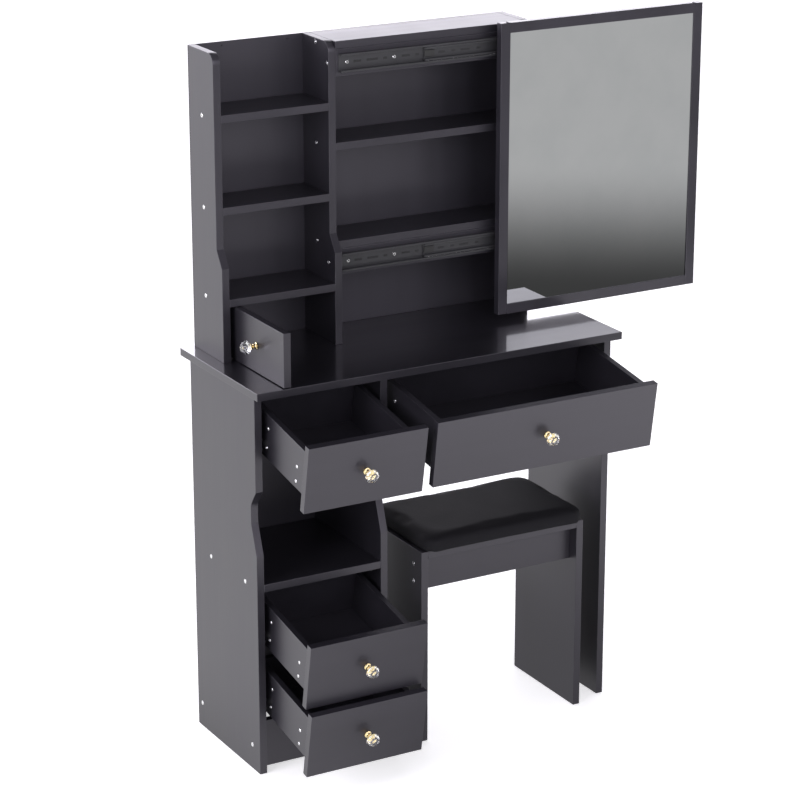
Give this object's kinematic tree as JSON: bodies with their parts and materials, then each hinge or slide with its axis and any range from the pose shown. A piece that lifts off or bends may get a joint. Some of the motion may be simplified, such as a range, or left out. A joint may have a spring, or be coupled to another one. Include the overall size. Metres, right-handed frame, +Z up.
{
  "type": "vanity table with mirror and stool",
  "caption": "Black vanity table with a shelf hutch, a framed mirror that slides sideways, drawers drawn out, a small hinged door and a padded stool.",
  "frame": {"origin": "on the floor under the middle of the outline, as posed with the mirror slid aside and the drawers drawn out", "axes": "+Z up; +X along the desktop to the sitter's right; -Y towards the sitter, so the drawers open along -Y"},
  "size_m": [1.095, 0.5146, 1.376],
  "materials": {
    "black_board": "black melamine-faced board, satin",
    "black_desktop": "black melamine-faced board, semi-gloss",
    "black_hardboard": "thin black-faced hardboard",
    "silver_screws": "bright zinc-plated steel",
    "black_steel": "black-coated rolled steel",
    "white_steel": "pale powder-coated steel",
    "white_roller": "pale moulded nylon",
    "brass_neck": "polished brass",
    "clear_crystal": "clear faceted crystal",
    "mirror": "silvered mirror glass",
    "black_leatherette": "matte black leatherette"
  },
  "bodies": {
    "desk": {"desktop": "black_desktop", "left_side_panel": "black_board", "divider_panel": "black_board", "right_side_panel": "black_board", "niche_shelf": "black_board", "desk_back_panel": "black_hardboard", "plinth_boards": "black_board", "back_rail": "black_board", "hutch_left_panel": "black_board", "hutch_middle_panel": "black_board", "hutch_right_panel": "black_board", "hutch_top_panel": "black_board", "hutch_back_panel": "black_hardboard", "left_upper_shelves": "black_board", "left_lower_shelf": "black_board", "right_shelves": "black_board", "slide_rail_boards": "black_board", "slide_outer_members": "black_steel", "panel_screws": "silver_screws", "drawer_runners": "white_steel", "corner_brackets": "silver_screws"},
    "slide_middles": {"slide_middle_members": "black_steel"},
    "mirror": {"mirror_frame": "black_board", "mirror_glass": "mirror", "mirror_backing_board": "black_board", "mirror_battens": "black_board", "slide_inner_members": "black_steel"},
    "door": {"door_panel": "black_board", "door_pivot_pins": "silver_screws", "door_knob_stem": "brass_neck", "door_knob_crystal": "clear_crystal"},
    "stool": {"stool_seat_pad": "black_leatherette", "stool_seat_board": "black_board", "stool_leg_panels": "black_board", "stool_rails": "black_board", "stool_screws": "silver_screws"},
    "upper_drawer_wheels": {"upper_drawer_rear_rollers": "white_roller"},
    "upper_drawer": {"upper_drawer_front": "black_board", "upper_drawer_box_walls": "black_board", "upper_drawer_box_bottom": "black_hardboard", "upper_drawer_knob_stem": "brass_neck", "upper_drawer_knob_crystal": "clear_crystal"},
    "wide_drawer_wheels": {"wide_drawer_rear_rollers": "white_roller"},
    "wide_drawer": {"wide_drawer_front": "black_board", "wide_drawer_box_walls": "black_board", "wide_drawer_box_bottom": "black_hardboard", "wide_drawer_knob_stem": "brass_neck", "wide_drawer_knob_crystal": "clear_crystal"},
    "middle_drawer_wheels": {"middle_drawer_rear_rollers": "white_roller"},
    "middle_drawer": {"middle_drawer_front": "black_board", "middle_drawer_box_walls": "black_board", "middle_drawer_box_bottom": "black_hardboard", "middle_drawer_knob_stem": "brass_neck", "middle_drawer_knob_crystal": "clear_crystal"},
    "lower_drawer_wheels": {"lower_drawer_rear_rollers": "white_roller"},
    "lower_drawer": {"lower_drawer_front": "black_board", "lower_drawer_box_walls": "black_board", "lower_drawer_box_bottom": "black_hardboard", "lower_drawer_knob_stem": "brass_neck", "lower_drawer_knob_crystal": "clear_crystal"}
  },
  "joints": [
    {"name": "mirror_slide", "type": "slide", "parent": "desk", "child": "mirror", "axis": [1, 0, 0], "range_m": [-0.366, 0.02]},
    {"name": "slide_middles_slide", "type": "slide", "parent": "desk", "child": "slide_middles", "axis": [1, 0, 0], "range_m": [-0.1835, 0.0105]},
    {"name": "door_hinge", "type": "hinge", "parent": "desk", "child": "door", "pos_m": [-0.4835, 0.13276, 0.834], "axis": [0, 0, 1], "range_deg": [0, 90]},
    {"name": "stool_slide", "type": "slide", "parent": "desk", "child": "stool", "axis": [0, -1, 0], "range_m": [-0.06, 0.45]},
    {"name": "upper_drawer_slide", "type": "slide", "parent": "desk", "child": "upper_drawer_wheels", "axis": [0, -1, 0], "range_m": [-0.172, 0]},
    {"name": "upper_drawer_tip", "type": "hinge", "parent": "upper_drawer_wheels", "child": "upper_drawer", "pos_m": [-0.3995, 0.02866, 0.663], "axis": [1, 0, 0], "range_deg": [-10.3, 0.1]},
    {"name": "wide_drawer_slide", "type": "slide", "parent": "desk", "child": "wide_drawer_wheels", "axis": [0, -1, 0], "range_m": [-0.178, 0]},
    {"name": "wide_drawer_tip", "type": "hinge", "parent": "wide_drawer_wheels", "child": "wide_drawer", "pos_m": [-0.0145, 0.02266, 0.665], "axis": [1, 0, 0], "range_deg": [-8.8, 0.1]},
    {"name": "middle_drawer_slide", "type": "slide", "parent": "desk", "child": "middle_drawer_wheels", "axis": [0, -1, 0], "range_m": [-0.172, 0]},
    {"name": "middle_drawer_tip", "type": "hinge", "parent": "middle_drawer_wheels", "child": "middle_drawer", "pos_m": [-0.3995, 0.02866, 0.275], "axis": [1, 0, 0], "range_deg": [-10.3, 0.1]},
    {"name": "lower_drawer_slide", "type": "slide", "parent": "desk", "child": "lower_drawer_wheels", "axis": [0, -1, 0], "range_m": [-0.172, 0]},
    {"name": "lower_drawer_tip", "type": "hinge", "parent": "lower_drawer_wheels", "child": "lower_drawer", "pos_m": [-0.3995, 0.02866, 0.1365], "axis": [1, 0, 0], "range_deg": [-10.3, 0.1]}
  ],
  "couplings": [
    {"joint": "slide_middles_slide", "follows": "mirror_slide", "ratio": 0.5},
    {"joint": "upper_drawer_tip", "follows": "upper_drawer_slide", "rad_per_m": 1.035},
    {"joint": "wide_drawer_tip", "follows": "wide_drawer_slide", "rad_per_m": 0.85305},
    {"joint": "middle_drawer_tip", "follows": "middle_drawer_slide", "rad_per_m": 1.035},
    {"joint": "lower_drawer_tip", "follows": "lower_drawer_slide", "rad_per_m": 1.035}
  ]
}
